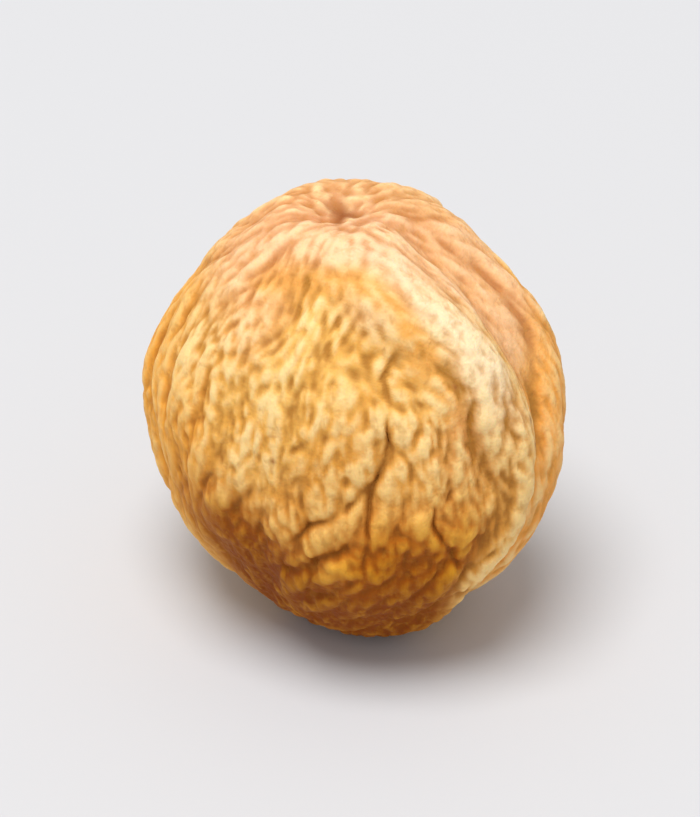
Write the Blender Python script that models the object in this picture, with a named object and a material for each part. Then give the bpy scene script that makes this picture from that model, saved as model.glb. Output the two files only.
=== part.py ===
"""A whole dried apricot, its stone still in, standing on a small flat spot at its blunt tip.

Axes: +Z runs from the tip to the stem end, +X faces the suture, and the two cheeks face -Y and +Y.
The origin lies below the middle of the fruit, level with the surface that it stands on.
"""

import bmesh
import bpy
import numpy as np

MM = 0.001

# Driving dimensions of the smooth body
WIDTH = 32.2 * MM  # from the back to the suture, along X
THICKNESS = 26.0 * MM  # from cheek to cheek, along Y
LENGTH = 35.8 * MM  # from tip to stem end, along Z, before the flat spot is pressed in
FULLNESS = 2.05  # 2 is an ellipsoid; a little more gives full shoulders
FLAT_PRESS = 0.9 * MM  # how far the tip is pressed flat
TILE_ROWS = 24  # quads along each edge of the cube that is blown up into the fruit

# The suture: a furrow down the +X side, between a high near lip and a lower far one
FURROW_DEPTH = 1.25 * MM
FURROW_HALF_WIDTH = 1.4 * MM
FURROW_WIDENING = 0.6  # how much wider the furrow and its lips lie at the stem end
FURROW_SWAY = 1.4 * MM
FURROW_SWAY_LENGTH = 42.0 * MM
LIP_OFFSET = 3.0 * MM
LIP_HALF_WIDTH = 1.7 * MM
NEAR_LIP = 0.60 * MM
FAR_LIP = 0.35 * MM

# The stem end: a pucker with a low rim
STEM_AT = (-1.1 * MM, 0.6 * MM)
STEM_DEPTH = 1.25 * MM
STEM_HALF_WIDTH = 2.3 * MM
RIM_RADIUS = 4.4 * MM
RIM_HALF_WIDTH = 1.5 * MM
RIM_HEIGHT = 0.35 * MM

# Broad lumps and hollows where the flesh dried unevenly:
# longitude and latitude in degrees, half width and height
LUMPS = (
    (85.0, 50.0, 6.0 * MM, 0.80 * MM),
    (37.0, 18.0, 4.5 * MM, 0.80 * MM),
    (32.0, 56.0, 2.6 * MM, -0.60 * MM),
    (165.0, 44.0, 6.0 * MM, -0.90 * MM),
    (-60.0, -30.0, 5.5 * MM, 0.35 * MM),
    (-18.0, -44.0, 5.0 * MM, -0.60 * MM),
    (-107.0, -45.0, 6.0 * MM, -0.90 * MM),
    (-146.0, -13.0, 5.0 * MM, -0.60 * MM),
    (75.0, -5.0, 7.0 * MM, -0.80 * MM),
    (135.0, -25.0, 5.5 * MM, 0.40 * MM),
    (-168.0, 33.0, 6.5 * MM, -1.00 * MM),
    (59.0, 44.0, 3.0 * MM, -0.80 * MM),
    (-7.0, -32.0, 5.0 * MM, -0.60 * MM),
)

# Long shallow folds that run from the stem end to the tip: folds round the fruit, turn, height
FOLDS = (
    (9, 0.6, 0.16 * MM),
    (14, 2.1, 0.12 * MM),
)

SKIN_COLOUR = (0.78, 0.50, 0.17, 1.0)
SKIN_ROUGHNESS = 0.6


def clear_scene():
    for old in list(bpy.data.objects):
        bpy.data.objects.remove(old, do_unlink=True)


def bump(distance, half_width):
    """1 in the middle, falling off smoothly to nothing on both sides."""
    return np.exp(-((distance / half_width) ** 2))


def ramp(value, start, end):
    """0 up to start, 1 from end on, smooth between them."""
    share = np.clip((value - start) / (end - start), 0.0, 1.0)
    return share * share * (3.0 - 2.0 * share)


def unit_vector(longitude_deg, latitude_deg):
    longitude, latitude = np.radians(longitude_deg), np.radians(latitude_deg)
    return np.array(
        [np.cos(latitude) * np.cos(longitude), np.cos(latitude) * np.sin(longitude), np.sin(latitude)]
    )


def furrow_relief(body):
    """The suture and its lips, from the stem end down to just above the tip."""
    x, y, z = body.T
    across = y - FURROW_SWAY * np.sin(2.0 * np.pi * z / FURROW_SWAY_LENGTH)
    across /= 1.0 + FURROW_WIDENING * ramp(z, 0.0, 0.4 * LENGTH)
    shallower = 0.55 + 0.45 * ramp(z, -0.3 * LENGTH, 0.4 * LENGTH)
    shape = -FURROW_DEPTH * shallower * bump(across, FURROW_HALF_WIDTH)
    shape += NEAR_LIP * bump(across + LIP_OFFSET, LIP_HALF_WIDTH)
    shape += FAR_LIP * bump(across - LIP_OFFSET, LIP_HALF_WIDTH)
    suture_side = ramp(x, 0.0, 0.2 * WIDTH)
    above_tip = ramp(z, -0.49 * LENGTH, -0.38 * LENGTH)
    return shape * suture_side * above_tip


def stem_relief(body):
    """The pucker that the stem left, with its rim."""
    x, y, z = body.T
    distance = np.hypot(x - STEM_AT[0], y - STEM_AT[1])
    shape = -STEM_DEPTH * bump(distance, STEM_HALF_WIDTH)
    shape += RIM_HEIGHT * bump(distance - RIM_RADIUS, RIM_HALF_WIDTH)
    return shape * ramp(z, 0.0, 0.2 * LENGTH)


def lump_relief(directions, body):
    shape = np.zeros(len(body))
    mean_radius = np.linalg.norm(body, axis=1).mean()
    for longitude, latitude, half_width, height in LUMPS:
        away = np.arccos(np.clip(directions @ unit_vector(longitude, latitude), -1.0, 1.0))
        shape += height * bump(away * mean_radius, half_width)
    return shape


def fold_relief(directions):
    """Folds are deepest round the middle and the suture side is left to its furrow."""
    longitude = np.arctan2(directions[:, 1], directions[:, 0])
    level = 1.0 - directions[:, 2] ** 2
    off_suture = ramp(np.abs(longitude), 0.3, 0.9)
    shape = np.zeros(len(directions))
    for count, turn, height in FOLDS:
        bend = 0.5 * np.sin(3.0 * directions[:, 2] + turn)
        shape += height * np.sin(count * longitude + turn + bend)
    return shape * level * off_suture


def fruit_points(directions):
    """The skin's points for unit vectors from the middle of the fruit."""
    half_sizes = np.array([WIDTH, THICKNESS, LENGTH]) / 2.0
    reach = (np.abs(directions / half_sizes) ** FULLNESS).sum(axis=1) ** (-1.0 / FULLNESS)
    body = directions * reach[:, None]
    relief = furrow_relief(body) + stem_relief(body)
    relief += lump_relief(directions, body) + fold_relief(directions)
    points = directions * (reach + relief)[:, None]
    lowest = -LENGTH / 2.0 + FLAT_PRESS
    points[:, 2] = np.maximum(points[:, 2], lowest) - lowest
    points[:, :2] -= (points[:, :2].max(axis=0) + points[:, :2].min(axis=0)) / 2.0
    return points


def skin_material():
    material = bpy.data.materials.new("dried_apricot_skin")
    material.use_nodes = True
    shader = material.node_tree.nodes["Principled BSDF"]
    shader.inputs["Base Color"].default_value = SKIN_COLOUR
    shader.inputs["Roughness"].default_value = SKIN_ROUGHNESS
    shader.inputs["Metallic"].default_value = 0.0
    return material


def make_apricot():
    """A cube, divided evenly, is blown up into the fruit, so no poles gather at the ends."""
    shell = bmesh.new()
    bmesh.ops.create_cube(shell, size=2.0)
    bmesh.ops.subdivide_edges(shell, edges=shell.edges[:], cuts=TILE_ROWS - 1, use_grid_fill=True)
    flat_tiles = np.array([vert.co[:] for vert in shell.verts])
    even_tiles = np.tan(flat_tiles * np.pi / 4.0)
    directions = even_tiles / np.linalg.norm(even_tiles, axis=1)[:, None]
    for vert, point in zip(shell.verts, fruit_points(directions)):
        vert.co = point
    bmesh.ops.recalc_face_normals(shell, faces=shell.faces[:])

    mesh = bpy.data.meshes.new("apricot")
    shell.to_mesh(mesh)
    shell.free()
    mesh.shade_smooth()
    mesh.materials.append(skin_material())
    apricot = bpy.data.objects.new("apricot", mesh)
    bpy.context.scene.collection.objects.link(apricot)
    return apricot


clear_scene()
make_apricot()
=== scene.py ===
"""The looks of a whole dried apricot: wrinkled, matt, honey-coloured skin shrunk onto its stone."""

import math

import bmesh
import bpy
import numpy as np
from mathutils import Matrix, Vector, noise
from mathutils.bvhtree import BVHTree


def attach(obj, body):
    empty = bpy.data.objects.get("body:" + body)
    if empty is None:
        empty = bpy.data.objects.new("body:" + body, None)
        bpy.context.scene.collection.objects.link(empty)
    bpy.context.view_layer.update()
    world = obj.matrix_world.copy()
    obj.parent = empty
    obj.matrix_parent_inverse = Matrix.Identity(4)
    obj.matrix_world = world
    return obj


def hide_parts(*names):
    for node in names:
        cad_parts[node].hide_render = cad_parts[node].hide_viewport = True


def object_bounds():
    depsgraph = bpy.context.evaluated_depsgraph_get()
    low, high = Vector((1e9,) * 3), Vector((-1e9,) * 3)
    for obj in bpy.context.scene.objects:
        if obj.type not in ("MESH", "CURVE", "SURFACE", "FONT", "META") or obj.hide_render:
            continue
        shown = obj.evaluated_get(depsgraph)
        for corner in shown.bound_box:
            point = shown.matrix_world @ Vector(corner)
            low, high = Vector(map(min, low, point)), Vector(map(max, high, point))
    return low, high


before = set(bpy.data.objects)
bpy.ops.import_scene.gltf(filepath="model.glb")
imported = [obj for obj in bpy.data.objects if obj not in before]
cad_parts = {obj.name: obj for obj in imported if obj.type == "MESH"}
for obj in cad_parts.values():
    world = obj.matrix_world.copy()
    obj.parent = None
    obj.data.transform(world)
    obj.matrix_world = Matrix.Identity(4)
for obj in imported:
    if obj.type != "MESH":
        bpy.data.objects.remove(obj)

CAD_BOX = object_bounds()
MM = 0.001
SEED = 11

# The skin's mesh: a cube divided evenly and blown up, so that it has no poles
TILE_ROWS = 128
FACET_BLUR = 0.55  # mm, takes the facets off the solid that the skin is laid on

# Anatomy. The suture faces +X, longitude 0, and the cheeks lie at -90 and 90 degrees.
CORE = Vector((0.0, 0.25 * MM, 17.0 * MM))  # the middle that the fruit grew round
MEAN_RADIUS = 16.5  # mm
SUTURE_SWAY = 1.4  # mm
SUTURE_SWAY_LENGTH = 42.0  # mm
SUTURE_WIDENING = 0.6  # how much wider the furrow and its lips lie at the stem end
NEAR_LIP_AT = -3.4  # mm across the suture
STEM_AT = (-1.1, 0.6)  # mm from the core's axis
RIM_RADIUS = 4.8  # mm

# How far the drying skin rose or sank from the solid's smooth shape, in mm
NEAR_LIP_RISE = 0.45
RIM_RISE = 0.2
CHEEK_SINK = 0.55
SCAR_DEPTH = 0.2
INSIDE_SOLID = 80.0  # per cent of the skin; only its ridges stand out of the solid

# Wrinkles: mm from one ridge to the next, but for the half width of a line
SWELL_SPACING = 6.4
LINE_SPACING = 5.5
LINE_HALF_WIDTH = 0.32
FOLD_SPACING = 3.4
CELL_SPACING = 2.1
WRINKLE_SPACING = 1.15

# Hollows, where the creases get painted shade and the ridges between them a paler tint, are found at three
# sizes: the width in mm of the surroundings that a spot is held against, the depth in mm below them that
# counts as full, and how much that size counts
HOLLOW_SIZES = ((0.3, 0.035, 0.45), (0.75, 0.07, 0.35), (1.8, 0.16, 0.3))

# Small dark spots: longitude, latitude and half width in mm
SPECKS = ((-5, 21, 0.28), (-5, 14, 0.24), (-26, 38, 0.20), (-88, 17, 0.22))

# The brow, where the cheek starts to sink below the pale shoulder and a band of painted shade is laid:
# longitude and latitude in degrees
BROW = ((-113, 62), (-96, 68), (-60, 69), (-40, 61), (-35, 51), (-30, 42), (-27, 34), (-26, 26))
BROW_HALF_WIDTH = 1.2  # mm

# Single creases: depth and half width in mm, then points as longitude and latitude in degrees
CREASES = (
    (0.26, 0.28, ((-35, 33), (-38, 29), (-41, 22))),
    (0.30, 0.30, ((-45, 48), (-47, 38), (-48, 29))),
    (0.75, 0.75, ((-48, 27), (-52, 19), (-55, 10), (-56, 0), (-57, -14))),
    (0.34, 0.36, ((-20, 31), (-22, 24), (-28, 14), (-31, 7))),
    (0.55, 0.60, ((-80, -9), (-69, -1), (-60, 9), (-55, 16))),
    (0.34, 0.40, ((-80, 20), (-75, 23), (-69, 27))),
    (0.45, 0.50, ((-37, 8), (-35, -5), (-27, -18))),
    (0.55, 0.60, ((-82, -26), (-70, -18), (-61, -9))),
    (0.26, 0.30, ((-27, 20), (-30, 13), (-33, 4))),
    (0.20, 0.35, ((-95, 52), (-94, 45), (-94, 38))),
    (0.40, 0.45, ((-42, 2), (-45, -10), (-42, -22))),
)


# ---------------------------------------------------------------- soft shapes


def ramp(value, start, end):
    """0 up to start, 1 from end on, smooth between them."""
    share = np.clip((value - start) / (end - start), 0.0, 1.0)
    return share * share * (3.0 - 2.0 * share)


def within(value, start, full, fading, end):
    """1 from full to fading, 0 before start and past end, smooth between them."""
    return ramp(value, start, full) * (1.0 - ramp(value, fading, end))


def bump(distance, half_width):
    """1 in the middle, falling off smoothly to nothing on both sides."""
    return np.exp(-((distance / half_width) ** 2))


def patch(longitude, latitude, middle, half_size):
    """A soft patch round its middle; both that and its half size are a longitude and a latitude."""
    return bump(longitude - middle[0], half_size[0]) * bump(latitude - middle[1], half_size[1])


def slow_noise(directions, scale, shift):
    """Smooth noise between about -1 and 1; scale is in lumps per radius."""
    offset = Vector((shift, 2.3 * shift, -1.7 * shift))
    return np.array([noise.noise(Vector(way) * scale + offset) for way in directions]) * 1.6


# ---------------------------------------------------------------- the mesh


def blown_up_cube(rows):
    """An evenly divided cube, blown up into a unit sphere, and the directions of its corners."""
    shell = bmesh.new()
    bmesh.ops.create_cube(shell, size=2.0)
    bmesh.ops.subdivide_edges(shell, edges=shell.edges[:], cuts=rows - 1, use_grid_fill=True)
    flat_tiles = np.array([vert.co[:] for vert in shell.verts])
    even_tiles = np.tan(flat_tiles * np.pi / 4.0)
    directions = even_tiles / np.linalg.norm(even_tiles, axis=1)[:, None]
    for vert, direction in zip(shell.verts, directions):
        vert.co = direction
    bmesh.ops.recalc_face_normals(shell, faces=shell.faces[:])
    return shell, directions


def laid_on_solid(directions, node):
    """Distance in mm from the fruit's core to its CAD solid, along each direction."""
    tree = BVHTree.FromObject(bpy.data.objects[node], bpy.context.evaluated_depsgraph_get())
    return np.array([tree.ray_cast(CORE, Vector(way))[3] for way in directions]) / MM


def triangles_of(shell):
    """The shell's quads, each cut in two, as the numbers of their corners."""
    quads = np.array([[vert.index for vert in face.verts] for face in shell.faces])
    return np.concatenate([quads[:, [0, 1, 2]], quads[:, [0, 2, 3]]])


def sides_of(points, triangles):
    """Each triangle's unit normal, its double area, and the side opposite each of its corners."""
    corners = points[triangles]
    opposite = np.roll(corners, -2, axis=1) - np.roll(corners, -1, axis=1)
    facing = np.cross(corners[:, 1] - corners[:, 0], corners[:, 2] - corners[:, 0])
    double_area = np.linalg.norm(facing, axis=1)
    return facing / double_area[:, None], double_area, opposite


def gathered(rows, triangles, count):
    """At each of count points, the sum of the rows of numbers of the triangles round it."""
    corners = triangles.ravel()
    return np.stack([np.bincount(corners, np.repeat(column, 3), count) for column in rows.T], axis=1)


def vertex_normals(points, triangles):
    normal, double_area, _ = sides_of(points, triangles)
    normals = gathered(normal * double_area[:, None], triangles, len(points))
    return normals / np.linalg.norm(normals, axis=1)[:, None]


def slope_of(values, points, triangles):
    """The uphill direction and steepness of values over the skin, at each point."""
    normal, double_area, opposite = sides_of(points, triangles)
    slopes = (np.cross(normal[:, None, :], opposite) * values[triangles][:, :, None]).sum(axis=1)
    weight = gathered(double_area[:, None], triangles, len(points))
    return gathered(slopes, triangles, len(points)) / weight


class Grain:
    """Spreads values over the skin as heat would spread, further along its grain than across it."""

    CROWDED = 98.0  # per cent; past this share, the points with the smallest triangles are slowed down
    STEP_SHARE = 0.65  # of a crowded point's value, which passes on to its neighbours in one step

    def __init__(self, points, triangles, along, stretch):
        """Along is the grain's way at each point, and stretch how many times further it carries values."""
        # How a value of 1 at each corner slopes across its triangle, and the grain's way within it
        normal, double_area, opposite = sides_of(points, triangles)
        slopes = np.cross(normal[:, None, :], opposite) / double_area[:, None, None]
        way = along[triangles].sum(axis=1)
        way -= (way * normal).sum(axis=1)[:, None] * normal
        way /= np.linalg.norm(way, axis=1)[:, None] + 1e-9
        reach = stretch[triangles].mean(axis=1) ** 2 - 1.0
        along_way = (slopes * way[:, None, :]).sum(axis=2)

        # How strongly the two ends of each side draw each other's values together
        starts, ends, pulls = [], [], []
        for a, b in ((0, 1), (1, 2), (2, 0)):
            even = (slopes[:, a] * slopes[:, b]).sum(axis=1)
            pull = -0.5 * double_area * (even + reach * along_way[:, a] * along_way[:, b])
            starts += [triangles[:, a], triangles[:, b]]
            ends += [triangles[:, b], triangles[:, a]]
            pulls += [pull, pull]
        starts, ends, pulls = map(np.concatenate, (starts, ends, pulls))
        area = gathered(double_area[:, None] / 6.0, triangles, len(points))[:, 0]

        # What passes along each side in one step, sorted by the point that it starts from
        order = np.argsort(starts, kind="stable")
        self.ends = ends[order]
        self.first = np.searchsorted(starts[order], np.arange(len(points)))
        rates = (pulls / area[starts])[order]
        load = np.add.reduceat(0.5 * (np.abs(rates) + rates), self.first)
        cap = np.percentile(load, self.CROWDED)
        rates *= np.minimum(1.0, cap / load)[starts[order]]
        self.time_step = self.STEP_SHARE / cap
        self.rates = (rates * self.time_step).astype(np.float32)
        self.keep = 1.0 - np.add.reduceat(self.rates, self.first)

    def smooth(self, values, width):
        """Blurs by a bell curve whose half width across the grain is width, in mm."""
        steps = max(1, round(0.5 * width ** 2 / self.time_step))
        values = values.astype(np.float32)
        for _ in range(steps):
            values = self.keep * values + np.add.reduceat(self.rates * values[self.ends], self.first)
        return values

    def waves(self, rng, spacing, rounds=1):
        """Uneven ridges and hollows, spacing mm from ridge to ridge, with a spread of 1."""
        narrow = 0.15 * spacing
        values = rng.standard_normal(len(self.keep))
        for _ in range(rounds):
            fine = self.smooth(values, narrow)
            values = fine - self.smooth(fine, 1.75 * narrow)
            values = np.tanh(0.7 * values / values.std())
        return values / values.std()


# ---------------------------------------------------------------- where things lie on the fruit


def direction_of(longitude, latitude):
    """A unit vector from the core to a place that is given in degrees."""
    turn, rise = math.radians(longitude), math.radians(latitude)
    return np.array([math.cos(rise) * math.cos(turn), math.cos(rise) * math.sin(turn), math.sin(rise)])


def distance_from(course, directions):
    """Distance in mm over the skin from a course through places, given as longitude and latitude."""
    course = [direction_of(*place) for place in course]
    away = np.full(len(directions), np.inf)
    for start, end in zip(course, course[1:]):
        span = end - start
        share = np.clip((directions - start) @ span / (span @ span), 0.0, 1.0)
        away = np.minimum(away, np.linalg.norm(directions - start - share[:, None] * span, axis=1))
    return MEAN_RADIUS * away


def meridians(directions):
    """Unit vectors along the skin, from the tip towards the stem end."""
    upward = np.array([0.0, 0.0, 1.0]) - directions[:, 2:] * directions
    return upward / (np.linalg.norm(upward, axis=1)[:, None] + 1e-6)


class SmoothSkin:
    """The skin before it wrinkles: where its points lie on the fruit, and in which zones.

    A zone is 1 inside and fades to 0 outside. Its limits are degrees of longitude or latitude,
    mm across the suture, mm from the stem or mm above the core.
    """

    def __init__(self, directions, points, triangles):
        self.directions, self.points, self.triangles = directions, points, triangles
        self.normals = vertex_normals(points, triangles)
        self.meridian = meridians(directions)
        self.longitude = np.degrees(np.arctan2(directions[:, 1], directions[:, 0]))
        self.latitude = np.degrees(np.arcsin(directions[:, 2]))
        self.height = points[:, 2]
        # Slow drifts that keep the folds and creases from running straight
        self.sway = slow_noise(directions, 1.7, 5.2)
        self.jitter = slow_noise(directions, 5.0, 9.4)
        # Most zones are drawn on a map that wanders, so that their edges are uneven
        self.wander = slow_noise(directions, 2.2, 3.1)
        self.uneven_map = (self.longitude + 12.0 * self.wander,
                           self.latitude + 9.0 * slow_noise(directions, 2.0, 7.7))

        self.find_suture()
        self.find_near_cheek()
        self.find_hidden_sides()
        self.find_stem_end()
        self.find_tints()
        # Wrinkles are shallower along the furrow, on the bare lip and round the stem
        self.calm = 1.0 - 0.4 * np.clip(self.bare_lip + self.seam + self.rim, 0.0, 1.0)

    def find_suture(self):
        """The furrow, its orange band, and the near lip, which is barer towards the stem end."""
        x, y, z = self.points.T
        lon, lat = self.uneven_map
        widening = 1.0 + SUTURE_WIDENING * ramp(z, 0.0, 14.0)
        self.across = (y - SUTURE_SWAY * np.sin(2.0 * np.pi * z / SUTURE_SWAY_LENGTH)) / widening
        self.suture_side = ramp(x, 0.0, 6.0)
        above_foot = self.suture_side * ramp(z, -16.0, -12.0)
        self.seam = above_foot * within(self.across, -2.2, -1.0, 2.0, 4.5)
        self.band = above_foot * ramp(self.across, -1.8, -0.4) * (1.0 - ramp(lon, 34.0, 50.0))
        lip_drift = 0.5 * slow_noise(self.directions, 4.0, 2.9)
        lip_half_width = 1.5 - 0.3 * ramp(lat, 5.0, 35.0)
        self.near_lip = bump(self.across - NEAR_LIP_AT - lip_drift, lip_half_width) * self.suture_side
        self.near_lip *= ramp(lat, -8.0, 22.0)
        self.bare_lip = self.near_lip * ramp(lat, 16.0, 42.0)

    def find_near_cheek(self):
        """The cheek towards -Y: sunken in its middle, and pleated beside the near lip."""
        lon, lat = self.uneven_map
        near_side = 1.0 - ramp(self.longitude, 0.0, 10.0)
        cheek_edge = -2.0 - 1.6 * ramp(lat, 22.0, 48.0)
        past_lip = ramp(self.across - cheek_edge, -1.2, 0.2) * self.suture_side
        self.cheek = (ramp(lon, -125.0, -105.0) * (1.0 - past_lip) * near_side
                      * ramp(lat, -45.0, -5.0) * (1.0 - ramp(self.latitude, 68.0, 78.0)))
        onto_lip = ramp(self.across, -6.0, -4.4) * self.suture_side
        self.sunken = (ramp(lon, -112.0, -90.0) * (1.0 - onto_lip) * near_side
                       * ramp(lat, -15.0, 15.0) * (1.0 - ramp(self.latitude, 62.0, 73.0)))
        self.pleated = patch(lon, lat, (-30.0, 14.0), (18.0, 26.0))
        self.low_cheek = patch(lon, lat, (-92.0, -1.0), (17.0, 13.0))
        self.low_front = within(lon, -125.0, -85.0, -8.0, 8.0) * (1.0 - ramp(lat, -12.0, 14.0))

    def find_hidden_sides(self):
        """The back, which is to the left of the near cheek, the far cheek and the flat spot."""
        lon, lat = self.uneven_map
        self.left = (1.0 - ramp(lon, -125.0, -105.0)) + ramp(lon, 145.0, 175.0)
        self.left *= ramp(lat, -60.0, -30.0) * (1.0 - 0.6 * ramp(lat, 35.0, 60.0))
        self.upper_left = (1.0 - ramp(lon, -135.0, -95.0)) * bump(lat - 52.0, 20.0)
        self.far_cheek = within(lon, 15.0, 50.0, 145.0, 175.0) * bump(lat, 60.0)
        self.flat_spot = 1.0 - ramp(self.height, -16.9, -15.2)

    def find_stem_end(self):
        """The pucker with its rim, and the ragged scar that the stem left."""
        x, y, z = self.points.T
        self.stem_distance = np.where(z > 0.0, np.hypot(x - STEM_AT[0], y - STEM_AT[1]), np.inf)
        self.stem_angle = np.arctan2(y - STEM_AT[1], x - STEM_AT[0])
        self.stem_end = bump(self.stem_distance, 5.5)
        self.rim = bump(self.stem_distance - RIM_RADIUS, 1.4)
        self.rim *= within(self.longitude, -135.0, -95.0, -20.0, 20.0)
        ragged = 1.0 + 0.35 * np.cos(3.0 * self.stem_angle + 4.0 * self.wander)
        self.scar = bump(self.stem_distance * ragged, 0.9)

    def find_tints(self):
        """The zones that only colour the skin: amber low on the front, partly painted shade, with painted
        shade under it that grows darker towards the bottom, and peach above the cheek.
        """
        lon, lat = self.uneven_map
        amber_top = lat - 10.0 * ramp(lon, -72.0, -52.0)
        self.amber = (within(lon, -148.0, -104.0, -30.0, -4.0) * (1.0 - ramp(amber_top, -28.0, 28.0))
                      * (1.0 - 0.6 * self.low_cheek))
        # Under: painted shade, darker towards the bottom of the amber zone
        self.under = self.amber * (1.0 - ramp(lat, -34.0, 4.0))
        uneven = 1.0 + 0.35 * slow_noise(self.directions, 5.5, 14.1)
        # The brow: a band of painted shade under the pale shoulder
        self.brow = bump(distance_from(BROW, self.directions) / uneven, BROW_HALF_WIDTH)
        # Straw: a paler patch on the upper left, partly its own colour and partly painted light on that
        # limb
        self.straw = patch(self.longitude, self.latitude, (-128.0, 39.0), (14.0, 15.0))
        self.flushed = patch(lon, lat, (-22.0, 26.0), (16.0, 20.0))
        off_cheek = 1.0 - np.clip(self.sunken + 0.8 * self.brow, 0.0, 1.0)
        front = ramp(np.cos(np.radians(self.longitude + 60.0)), -0.8, 0.2)
        cap = ramp(lat, 42.0, 66.0) * (0.6 + 0.4 * front)
        self.peach = np.clip(cap + self.band * ramp(lat, 20.0, 44.0), 0.0, 1.0) * off_cheek


# ---------------------------------------------------------------- the wrinkled skin


def turned(skin, angle):
    """The way from the tip to the stem end, turned by angle in degrees within the skin."""
    turn = np.radians(angle)[:, None]
    return skin.meridian * np.cos(turn) + np.cross(skin.normals, skin.meridian) * np.sin(turn)


def plump(values):
    """Rounds the ridges and narrows the hollows of values with a spread of 1."""
    return values - 0.22 * values ** 2


def creased(values):
    """Plump cells, parted by narrow creases where values change sign, with a spread of 1."""
    cells = np.abs(values) ** 0.7
    return (cells - cells.mean()) / cells.std()


def crease_lines(values, skin, half_width):
    """1 along the lines where values change sign, falling off within half_width mm."""
    steepness = np.linalg.norm(slope_of(values, skin.points, skin.triangles), axis=1)
    distance = np.abs(values) / (steepness + 0.05)
    return np.exp(-((distance / half_width) ** 1.4))


def single_creases(directions):
    """The relief of the creases that are laid one by one, each between two low shoulders."""
    drift = np.stack([slow_noise(directions, 6.0, shift) for shift in (0.4, 4.4, 8.4)], axis=1)
    wandering = directions + 0.04 * drift
    fading = 0.8 + 0.5 * drift[:, 0]
    relief = np.zeros(len(directions))
    for depth, half_width, course in CREASES:
        away = distance_from(course, wandering)
        relief -= fading * depth * bump(away, half_width)
        relief += 0.15 * fading * depth * bump(away - 2.4 * half_width, 1.4 * half_width)
    return relief


def specks(directions):
    """A few small dark spots."""
    found = np.zeros(len(directions))
    for longitude, latitude, half_width in SPECKS:
        away = MEAN_RADIUS * np.linalg.norm(directions - direction_of(longitude, latitude), axis=1)
        found = np.maximum(found, bump(away, half_width))
    return found


def pucker(skin):
    """The stem end: shallow radial creases round a small ragged scar."""
    turn = skin.stem_angle + 0.9 * slow_noise(skin.directions, 5.0, 1.3)
    folds = 0.5 * np.cos(5.0 * turn) + 0.5 * np.cos(9.0 * turn + 1.0)
    return 0.11 * folds * bump(skin.stem_distance - 2.4, 1.8) - SCAR_DEPTH * skin.scar


def suture_line(skin):
    """The seam itself: a fine crease that starts on the far side and crosses to the near side."""
    course = -0.9 + 2.3 * ramp(skin.height, -4.0, 12.0) + 0.25 * skin.jitter
    away = skin.across - course
    seam = 0.26 * bump(away, 0.45) + 0.18 * bump(away, 1.2) - 0.10 * bump(away - 1.7, 0.9)
    return -seam * (0.8 + 0.35 * skin.jitter) * skin.suture_side * ramp(skin.height, -15.0, -10.0)


def broad_relief(skin, rng):
    """Long folds, slow swells with the lobes that they part into, and long creases, in mm."""
    way = turned(skin, 20.0 * skin.sway + 15.0 * skin.jitter - 30.0 * skin.low_front)
    grain = Grain(skin.points, skin.triangles, way, 3.0 + 0.8 * skin.left)
    folds = plump(grain.waves(rng, FOLD_SPACING, rounds=2))
    swell = grain.waves(rng, SWELL_SPACING)
    lobes = creased(swell)
    lines = crease_lines(grain.waves(rng, LINE_SPACING), skin, LINE_HALF_WIDTH)

    relief = folds * (0.05 + 0.10 * skin.pleated + 0.05 * skin.low_front + 0.14 * skin.left
                      + 0.14 * skin.far_cheek + 0.04 * skin.seam)
    relief += swell * (0.04 + 0.07 * skin.cheek)
    relief += lobes * (0.12 * skin.low_front + 0.11 * skin.far_cheek + 0.06 * skin.left)
    drawn = 0.03 + 0.06 * skin.cheek + 0.09 * skin.low_front + 0.08 * (skin.left + skin.far_cheek)
    relief -= lines * drawn * ramp(skin.jitter, -0.1, 0.6)
    return relief * skin.calm * (1.0 - 0.6 * skin.low_cheek)


def fine_relief(skin, grain, rng):
    """A net of small cells and finer wrinkles, in mm, deepest on the cheeks."""
    cells = creased(grain.waves(rng, CELL_SPACING))
    wrinkles = plump(grain.waves(rng, WRINKLE_SPACING))
    netted = np.clip(skin.cheek + skin.low_front + skin.far_cheek + 0.6 * skin.left, 0.0, 1.0)
    patches = 0.8 + 0.2 * np.clip(1.5 * slow_noise(skin.directions, 4.0, 12.6), -1.0, 1.0)
    relief = cells * (0.03 + 0.015 * netted) + wrinkles * (0.035 + 0.035 * netted)
    return relief * patches * skin.calm + wrinkles * (0.03 * skin.seam + 0.02 * skin.stem_end)


def wrinkled(skin, rng):
    """The skin's points once it has wrinkled, its relief in mm, and the grain of its crinkles."""
    broad = broad_relief(skin, rng) + single_creases(skin.directions)
    way = turned(skin, (14.0 * skin.sway + 20.0 * skin.jitter) * (1.0 - skin.seam))
    fine = fine_relief(skin, Grain(skin.points, skin.triangles, way, 2.2 + 1.3 * skin.seam), rng)

    off_foot = 1.0 - 0.9 * skin.flat_spot
    grain = Grain(skin.points, skin.triangles, way, np.full(len(way), 1.4))
    relief = grain.smooth((broad + fine) * off_foot + pucker(skin) + suture_line(skin), 0.11)
    shift = relief + NEAR_LIP_RISE * skin.near_lip + RIM_RISE * skin.rim - CHEEK_SINK * skin.sunken
    # Points slide downhill, which rounds the ridges and pinches the creases between them
    slide = 0.32 * slope_of(grain.smooth(broad * off_foot, 0.25), skin.points, skin.triangles)
    points = skin.points + skin.normals * (shift - np.percentile(shift, INSIDE_SOLID))[:, None] - slide
    points[:, 2] = np.maximum(points[:, 2], skin.height.min())
    return points, relief, grain


def hollowness(relief, grain):
    """About 1 in the creases and -1 on the ridges, for all three sizes taken together."""
    found = np.zeros(len(relief))
    for width, full_depth, share in HOLLOW_SIZES:
        surroundings = grain.smooth(relief, width)
        found += share * (surroundings - relief) / full_depth
        relief = surroundings
    return found


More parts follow.
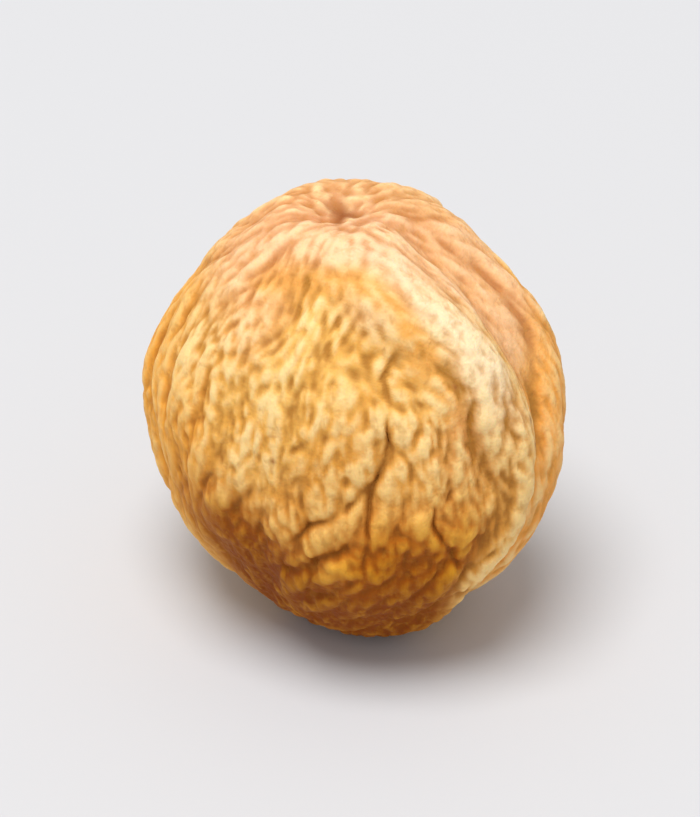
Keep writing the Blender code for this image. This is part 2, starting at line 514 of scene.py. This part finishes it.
def add_masks(mesh, skin, relief, grain):
    """Stores, at each point, how strongly each of the material's tints shows."""
    hollow = hollowness(relief, grain) * (1.0 - 0.3 * np.clip(skin.left + skin.far_cheek, 0.0, 1.0))
    shaded = np.clip(skin.amber + 0.6 * skin.band + 0.5 * skin.stem_end, 0.0, 1.0)
    # Pale zones: the near lip, its bare upper part and the stem rim carry a painted highlight along the
    # shoulder arc as well as a dry sugar coat; the straw patch is partly its own colour, partly painted
    # light on the left limb; the brow's painted shade takes some away
    pale = (0.35 * skin.near_lip + 0.35 * skin.bare_lip + 0.9 * skin.rim + 0.75 * skin.straw
            - 0.6 * skin.brow)
    masks = {
        # Crease: painted shade in the hollows, partly the flesh's deeper colour there, and a little painted
        # shade along the brow
        "crease": 0.7 * hollow * (1.0 - 0.5 * skin.low_cheek) + 0.12 * skin.brow,
        # Cream: paler on the ridges between hollows and on the pale zones; partly a dry sugar coat, partly
        # painted highlight
        "cream": pale - hollow * (0.85 - 0.35 * shaded) * (1.0 - 0.7 * skin.under),
        "peach": 0.85 * skin.peach,
        "blush": 0.8 * skin.stem_end + 0.35 * skin.flushed + 0.2 * skin.upper_left,
        # Orange: the suture's band in its own colour, and the brow as painted shade
        "orange": 0.8 * skin.band * (1.0 - skin.peach) + 0.5 * skin.brow,
        "golden": 0.7 * (skin.left + 0.6 * skin.far_cheek) * (1.0 - skin.straw),
        # Amber is partly the flesh's deeper colour and partly painted shade; under is painted shade, darker
        # towards the bottom
        "amber": skin.amber,
        "under": 0.95 * skin.under,
        # Pale tint on the bare lip: partly a dry sugar coat, partly a painted highlight on the shoulder
        "bloom_and_highlight": 0.6 * skin.bare_lip * (1.0 - skin.brow),
        # Dark: painted shade in the bottom of the stem scar's pit, and a few small dark spots
        "dark": np.maximum(skin.scar, 0.8 * specks(skin.directions)),
    }
    for name, values in masks.items():
        layer = mesh.attributes.new(name, "FLOAT", "POINT")
        layer.data.foreach_set("value", np.clip(values, 0.0, 1.0).astype(np.float32))


def make_fruit():
    """The whole skin as one closed piece, laid on the solid of the node that it stands for."""
    shell, directions = blown_up_cube(TILE_ROWS)
    triangles = triangles_of(shell)
    reach = laid_on_solid(directions, "apricot")
    facets = Grain(directions * reach[:, None], triangles, directions, np.ones(len(directions)))
    skin = SmoothSkin(directions, directions * facets.smooth(reach, FACET_BLUR)[:, None], triangles)
    points, relief, grain = wrinkled(skin, np.random.default_rng(SEED))

    mesh = bpy.data.meshes.new("apricot_skin")
    shell.to_mesh(mesh)
    shell.free()
    mesh.vertices.foreach_set("co", (points * MM + np.array(CORE)).ravel().astype(np.float32))
    add_masks(mesh, skin, relief, grain)
    mesh.shade_smooth()
    fruit = bpy.data.objects.new("fruit_skin", mesh)
    bpy.context.scene.collection.objects.link(fruit)
    return fruit


# ---------------------------------------------------------------- materials

PATCH_SIZE = 6.0  # mm, of the flesh's paler patches
FRECKLE_SIZE = 0.9  # mm, of its brown freckles
CREPE_SIZE = 0.8  # mm from pucker to pucker
CREPE_SQUEEZE = 0.6  # of the crepe's noise from stem end to tip, which draws the puckers out
DIMPLE_SIZE = 0.3  # mm

# The colour sockets of a Mix node by number, because others have the same names
MIX_SHARE, MIX_UNDER, MIX_OVER, MIX_RESULT = 0, 6, 7, 2

# Tints as sRGB hex values, each laid over the ones before it where its mask says
# The amber tint is partly painted shade and the under tint is painted shade, darker towards the bottom
SKIN_TINTS = (("golden", "EE9C2C"), ("peach", "E8B07E"), ("orange", "F0A048"),
              ("blush", "C88A64"), ("amber", "C06A04"), ("under", "823A00"))
# Ridge tints are paler, partly a dry sugar coat and partly painted highlight; crease tints are darker,
# painted shade in the hollows, partly the flesh's deeper colour
RIDGE_TINTS = (("golden", "F6BE66"), ("peach", "F5C89C"), ("amber", "E4A024"))
CREASE_TINTS = (("golden", "BA7020"), ("peach", "C68452"), ("amber", "8E4A06"))


def colour(code):
    """An sRGB hex value as the linear colour that the shaders use."""
    parts = [int(code[start:start + 2], 16) / 255.0 for start in (0, 2, 4)]
    linear = [part / 12.92 if part <= 0.04045 else ((part + 0.055) / 1.055) ** 2.4 for part in parts]
    return (*linear, 1.0)


def add_node(tree, kind, settings=None, inputs=None):
    """Adds a node. Settings go on it, and each input is a value or a socket to link from."""
    made = tree.nodes.new(kind)
    for name, value in (settings or {}).items():
        setattr(made, name, value)
    for socket, source in (inputs or {}).items():
        if isinstance(source, bpy.types.NodeSocket):
            tree.links.new(source, made.inputs[socket])
        else:
            made.inputs[socket].default_value = source
    return made


def tinted(tree, under, layers):
    """Lays colours over one another. A layer is its share, as a mask's name or a socket, and its colour."""
    for share, over in layers:
        if isinstance(share, str):
            share = add_node(tree, "ShaderNodeAttribute", {"attribute_name": share}).outputs["Fac"]
        if isinstance(over, str):
            over = colour(over)
        under = add_node(tree, "ShaderNodeMix", {"data_type": "RGBA"},
                         {MIX_SHARE: share, MIX_UNDER: under, MIX_OVER: over}).outputs[MIX_RESULT]
    return under


def new_material(name):
    material = bpy.data.materials.new(name)
    material.use_nodes = True
    return material, material.node_tree.nodes["Principled BSDF"]


def dried_apricot_skin():
    """Sun-dried apricot skin: matt and leathery, pale on the ridges, partly as a dry sugar coat and partly
    as painted highlight, darker amber in the creases, partly as painted shade, and painted shade darker
    towards the bottom.
    """
    material, shader = new_material("sun_dried_apricot_skin")
    tree = material.node_tree
    place = add_node(tree, "ShaderNodeTexCoord").outputs["Object"]

    def mottle(size_mm, detail, start, full, strength):
        """Patches about size_mm across, from none where the noise is at start to strength at full."""
        cloud = add_node(tree, "ShaderNodeTexNoise", None,
                         {"Vector": place, "Scale": 1.0 / (size_mm * MM), "Detail": detail,
                          "Roughness": 0.6}).outputs["Fac"]
        return add_node(tree, "ShaderNodeMapRange", {"interpolation_type": "SMOOTHSTEP"},
                        {"Value": cloud, "From Min": start, "From Max": full,
                         "To Max": strength}).outputs["Result"]

    # Crepe: small puckers, drawn out from the stem end to the tip, browner in their creases and
    # paler on their ridges: painted shade and painted highlight over the same noise's bump, partly the
    # skin's own colour
    drawn_out = add_node(tree, "ShaderNodeMapping", None,
                         {"Vector": place, "Scale": (1.0, 1.0, CREPE_SQUEEZE)}).outputs["Vector"]
    crepe = add_node(tree, "ShaderNodeTexNoise", None,
                     {"Vector": drawn_out, "Scale": 1.0 / (CREPE_SIZE * MM), "Detail": 2.0,
                      "Roughness": 0.55, "Distortion": 0.2}).outputs["Fac"]
    crepe_crease, crepe_ridge = (
        add_node(tree, "ShaderNodeMapRange", {"interpolation_type": "SMOOTHSTEP"},
                 {"Value": crepe, "From Min": start, "From Max": full,
                  "To Max": strength}).outputs["Result"]
        for start, full, strength in ((0.50, 0.30, 0.34), (0.52, 0.72, 0.26)))

    honey = tinted(tree, colour("E8A84C"), ((mottle(PATCH_SIZE, 3.0, 0.35, 0.65, 1.0), "F0BC66"),))
    ridge_tint = tinted(tree, colour("F6D290"), RIDGE_TINTS)
    crease_tint = tinted(tree, colour("B57C34"), CREASE_TINTS)
    flesh = tinted(tree, tinted(tree, honey, SKIN_TINTS), (
        # Painted highlight on the crepe's ridges, with a dry sugar coat
        (crepe_ridge, ridge_tint),
        # The cream and the pale tint on the bare lip: partly a dry sugar coat, partly painted highlight on
        # the ridges and the shoulder
        ("cream", ridge_tint),
        ("bloom_and_highlight", "FBE8C8"),
        # Painted shade in the crepe's creases, partly the flesh's deeper colour
        (crepe_crease, crease_tint),
        # Painted shade in the hollows, partly the flesh's deeper colour
        ("crease", crease_tint),
        (mottle(FRECKLE_SIZE, 2.0, 0.52, 0.70, 0.2), "CB8A30"),
        # Painted shade in the stem scar's pit, and small dark spots
        ("dark", "94552A"),
    ))
    tree.links.new(flesh, shader.inputs["Base Color"])

    dimples = add_node(tree, "ShaderNodeTexNoise", None,
                       {"Vector": place, "Scale": 1.0 / (DIMPLE_SIZE * MM), "Detail": 3.0,
                        "Roughness": 0.6}).outputs["Fac"]
    crinkled = add_node(tree, "ShaderNodeBump", None,
                        {"Height": crepe, "Strength": 1.0, "Distance": 0.20 * MM}).outputs["Normal"]
    dimpled = add_node(tree, "ShaderNodeBump", None,
                       {"Height": dimples, "Normal": crinkled, "Strength": 1.0, "Distance": 0.05 * MM})
    tree.links.new(dimpled.outputs["Normal"], shader.inputs["Normal"])
    rough = add_node(tree, "ShaderNodeMapRange", None, {"Value": dimples, "To Min": 0.58, "To Max": 0.74})
    tree.links.new(rough.outputs["Result"], shader.inputs["Roughness"])
    shader.inputs["IOR"].default_value = 1.45
    shader.inputs["Specular IOR Level"].default_value = 0.14
    shader.inputs["Subsurface Weight"].default_value = 0.15
    shader.inputs["Subsurface Radius"].default_value = (1.0, 0.5, 0.2)
    shader.inputs["Subsurface Scale"].default_value = 0.8 * MM
    return material


def pale_floor():
    """Matt studio paper: an even pale grey with hardly any shine, which takes soft shadows."""
    material, shader = new_material("pale_studio_paper")
    shader.inputs["Base Color"].default_value = colour("C8C8CA")
    shader.inputs["Roughness"].default_value = 0.8
    shader.inputs["Specular IOR Level"].default_value = 0.2
    return material


# ---------------------------------------------------------------- the studio

VIEW_AZIMUTH = 30.0  # degrees
VIEW_ELEVATION = 37.0  # degrees
LENS = 180.0  # mm
CAMERA_DISTANCE = 0.30  # m

FLOOR_HALF_WIDTH = 4.0  # m
SKY_STRENGTH = 0.57
KEY_FROM = (0.0, -0.24, 1.0)  # overhead and a little in front
KEY_DISTANCE = 2.0  # m
KEY_SIZE = 1.1  # m
KEY_POWER = 38.0  # W


def make_camera():
    low, high = CAD_BOX
    target = (Vector(low) + Vector(high)) / 2.0
    azimuth, elevation = math.radians(VIEW_AZIMUTH), math.radians(VIEW_ELEVATION)
    back = Vector((math.sin(azimuth) * math.cos(elevation), -math.cos(azimuth) * math.cos(elevation),
                   math.sin(elevation)))
    camera = bpy.data.objects.new("camera", bpy.data.cameras.new("camera"))
    camera.data.lens = LENS
    camera.data.clip_start = 0.01
    camera.location = target + back * CAMERA_DISTANCE
    camera.rotation_mode = "QUATERNION"
    camera.rotation_quaternion = (-back).to_track_quat("-Z", "Y")
    bpy.context.scene.collection.objects.link(camera)
    bpy.context.scene.camera = camera


def make_floor():
    sheet = bmesh.new()
    bmesh.ops.create_grid(sheet, x_segments=1, y_segments=1, size=FLOOR_HALF_WIDTH)
    mesh = bpy.data.meshes.new("floor")
    sheet.to_mesh(mesh)
    sheet.free()
    mesh.materials.append(pale_floor())
    floor = bpy.data.objects.new("floor", mesh)
    bpy.context.scene.collection.objects.link(floor)


def make_key_light():
    """A large soft disk overhead."""
    light = bpy.data.lights.new("key", "AREA")
    light.shape = "DISK"
    light.size = KEY_SIZE
    light.energy = KEY_POWER
    lamp = bpy.data.objects.new("key", light)
    way = Vector(KEY_FROM).normalized()
    lamp.location = way * KEY_DISTANCE
    lamp.rotation_mode = "QUATERNION"
    lamp.rotation_quaternion = way.to_track_quat("Z", "Y")
    bpy.context.scene.collection.objects.link(lamp)


def make_sky():
    """Even white light from all round."""
    world = bpy.data.worlds.new("studio")
    world.use_nodes = True
    sky = world.node_tree.nodes["Background"]
    sky.inputs["Color"].default_value = (1.0, 1.0, 1.0, 1.0)
    sky.inputs["Strength"].default_value = SKY_STRENGTH
    bpy.context.scene.world = world
    bpy.context.scene.view_settings.view_transform = "Standard"


def main():
    fruit = make_fruit()
    fruit.data.materials.append(dried_apricot_skin())
    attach(fruit, "root")
    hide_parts("apricot")
    make_floor()
    make_camera()
    make_key_light()
    make_sky()


main()
